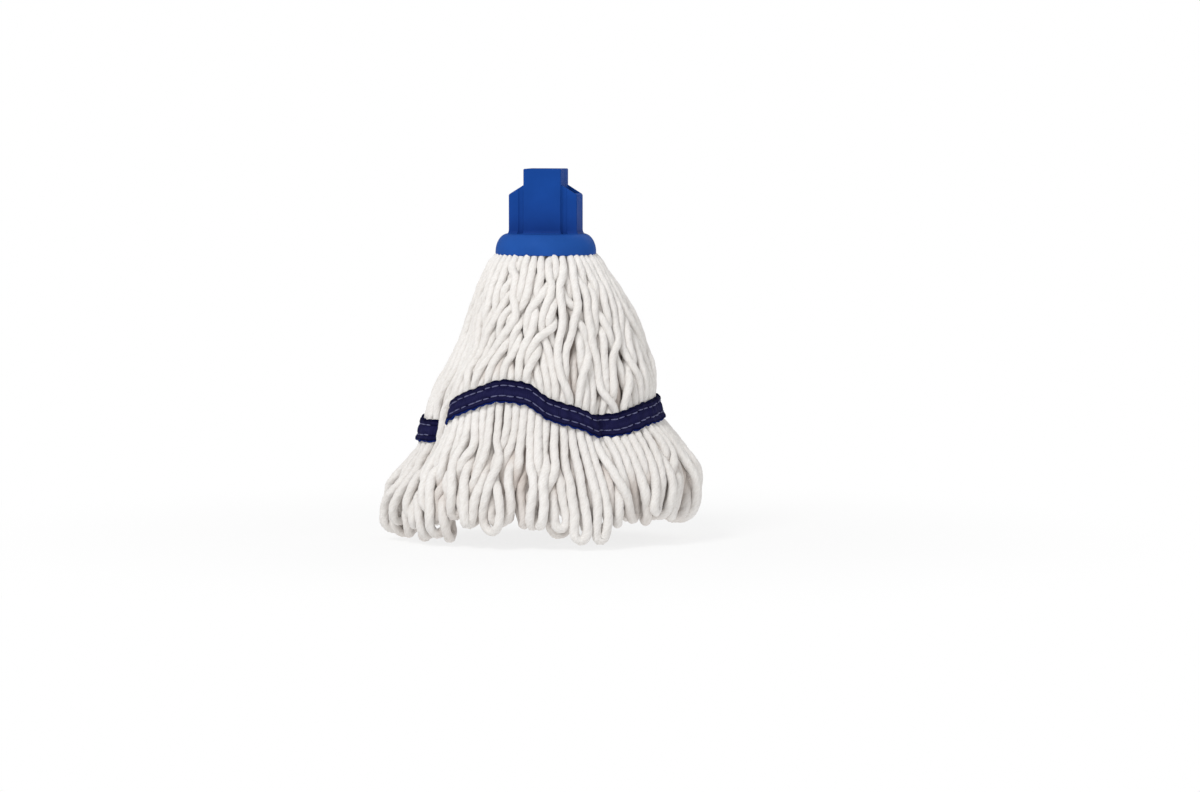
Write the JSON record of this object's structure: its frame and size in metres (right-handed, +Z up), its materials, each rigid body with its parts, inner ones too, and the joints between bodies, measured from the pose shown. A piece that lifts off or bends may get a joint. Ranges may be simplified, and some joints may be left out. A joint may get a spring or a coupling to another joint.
{
  "type": "string mop head",
  "caption": "Socket mop head: a winged plastic socket with a domed skirt over a bell of looped white yarn, held in shape by sewn dark tailbands.",
  "frame": {"origin": "under the middle of the footprint, on the surface that the loops stand on", "axes": "+Z up along the handle bore, +X along the socket's wings, -Y towards the front of the mop head"},
  "size_m": [0.2519, 0.1969, 0.295],
  "materials": {
    "blue_plastic": "satin injection-moulded polypropylene",
    "natural_plastic": "natural uncoloured polypropylene",
    "white_yarn": "soft low-twist cotton and polyester yarn",
    "navy_tape": "woven tape",
    "lilac_thread": "sewing thread"
  },
  "bodies": {
    "root": {"mop_socket": "blue_plastic", "yarn_retainer": "natural_plastic", "yarn_crown": "white_yarn", "yarn_lock_01": "white_yarn", "yarn_lock_02": "white_yarn", "yarn_lock_03": "white_yarn", "yarn_lock_04": "white_yarn", "yarn_lock_05": "white_yarn", "yarn_lock_06": "white_yarn", "yarn_lock_07": "white_yarn", "yarn_lock_08": "white_yarn", "yarn_lock_09": "white_yarn", "yarn_lock_10": "white_yarn", "yarn_lock_11": "white_yarn", "yarn_lock_12": "white_yarn", "yarn_lock_13": "white_yarn", "yarn_lock_14": "white_yarn", "yarn_lock_15": "white_yarn", "yarn_lock_16": "white_yarn", "yarn_lock_17": "white_yarn", "yarn_lock_18": "white_yarn", "yarn_lock_19": "white_yarn", "yarn_lock_20": "white_yarn", "yarn_lock_21": "white_yarn", "yarn_lock_22": "white_yarn", "yarn_lock_23": "white_yarn", "yarn_lock_24": "white_yarn", "yarn_lock_25": "white_yarn", "yarn_lock_26": "white_yarn", "yarn_lock_27": "white_yarn", "yarn_lock_28": "white_yarn", "yarn_lock_29": "white_yarn", "yarn_lock_30": "white_yarn", "yarn_lock_31": "white_yarn", "yarn_lock_32": "white_yarn", "yarn_lock_33": "white_yarn", "yarn_lock_34": "white_yarn", "yarn_lock_35": "white_yarn", "yarn_lock_36": "white_yarn", "front_tailband": "navy_tape", "rear_tailband": "navy_tape", "front_upper_stitching": "lilac_thread", "front_lower_stitching": "lilac_thread", "rear_upper_stitching": "lilac_thread", "rear_lower_stitching": "lilac_thread"}
  },
  "joints": []
}
